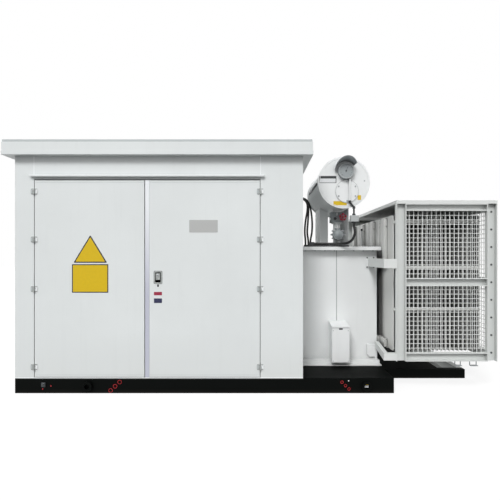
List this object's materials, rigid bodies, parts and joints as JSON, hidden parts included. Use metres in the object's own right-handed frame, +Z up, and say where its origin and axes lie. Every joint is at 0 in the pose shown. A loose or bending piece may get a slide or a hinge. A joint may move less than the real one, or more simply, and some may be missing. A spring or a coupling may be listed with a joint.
{
  "type": "compact substation",
  "caption": "Skid-mounted compact substation: switchgear house with a double door, transformer tank with conservator, and panel radiators in a wire-mesh cage.",
  "frame": {"origin": "centre of the object's footprint, on the ground under the skid", "axes": "+X to the right along the front, +Y from the doors to the rear, +Z up"},
  "size_m": [4.92, 2.66, 2.52],
  "materials": {
    "house_paint": "satin powder coat",
    "strip_paint": "satin powder coat",
    "stop_paint": "satin powder coat",
    "floor_steel": "rolled steel plate, painted",
    "skid_black": "semi-gloss black paint",
    "galvanised_steel": "galvanised",
    "tank_paint": "semi-gloss light grey paint",
    "relay_grey": "cast, matt",
    "gauge_body": "semi-gloss grey paint",
    "handwheel_red": "gloss red paint",
    "fitting_grey": "satin light grey paint",
    "conduit_black": "matt black",
    "cable_black": "smooth black sheath",
    "radiator_paint": "semi-gloss light grey paint",
    "cage_paint": "semi-gloss light grey paint",
    "mesh_zinc": "galvanised welded wire"
  },
  "bodies": {
    "root": {"cable_front": "cable_black", "cable_glands": "conduit_black", "cable_middle": "cable_black", "cable_rear": "cable_black", "cage_arms": "cage_paint", "cage_end_rails": "cage_paint", "cage_front_mesh": "mesh_zinc", "cage_posts": "cage_paint", "cage_rear_mesh": "mesh_zinc", "cage_roof": "cage_paint", "cage_side_mesh": "mesh_zinc", "cage_side_rails": "cage_paint", "conservator_drum": "tank_paint", "conservator_legs": "tank_paint", "control_box": "tank_paint", "control_box_cover": "tank_paint", "door_stops": "stop_paint", "drip_rail": "house_paint", "extension_beams": "skid_black", "extension_cross_bars": "galvanised_steel", "extension_deck": "skid_black", "frame_hinges": "galvanised_steel", "front_lintel": "house_paint", "front_wall_left": "house_paint", "front_wall_right": "house_paint", "gas_relay": "relay_grey", "gauge_conduit": "conduit_black", "gauge_hood": "gauge_body", "hand_hole_cover": "tank_paint", "hose_fittings": "conduit_black", "hose_tray": "conduit_black", "house_floor": "floor_steel", "jacking_plates": "tank_paint", "junction_box": "fitting_grey", "left_wall": "house_paint", "lid_hose": "cable_black", "lifting_bosses": "skid_black", "oil_gauge": "gauge_body", "radiator_bank_1": "radiator_paint", "radiator_bank_2": "radiator_paint", "radiator_bank_3": "radiator_paint", "radiator_bank_4": "radiator_paint", "rear_wall": "house_paint", "relay_pipe": "tank_paint", "ribbed_valve": "relay_grey", "right_wall": "house_paint", "roof": "house_paint", "skid_cross_beams": "skid_black", "skid_side_beams": "skid_black", "tank_base": "tank_paint", "tank_body": "tank_paint", "tank_deck": "skid_black", "tank_lid": "tank_paint", "valve_handwheel": "handwheel_red"},
    "left_leaf": {"left_door": "house_paint", "left_door_hinges": "galvanised_steel"},
    "right_leaf": {"right_door": "house_paint", "right_door_hinges": "galvanised_steel", "door_lock": "galvanised_steel", "meeting_strip": "strip_paint"}
  },
  "joints": [
    {"name": "left_door_swing", "type": "hinge", "parent": "root", "child": "left_leaf", "pos_m": [-2.1725, -1.264, 1.145], "axis": [0, 0, -1], "range_deg": [0, 110]},
    {"name": "right_door_swing", "type": "hinge", "parent": "root", "child": "right_leaf", "pos_m": [0.0875, -1.264, 1.145], "axis": [0, 0, 1], "range_deg": [0, 110]}
  ]
}
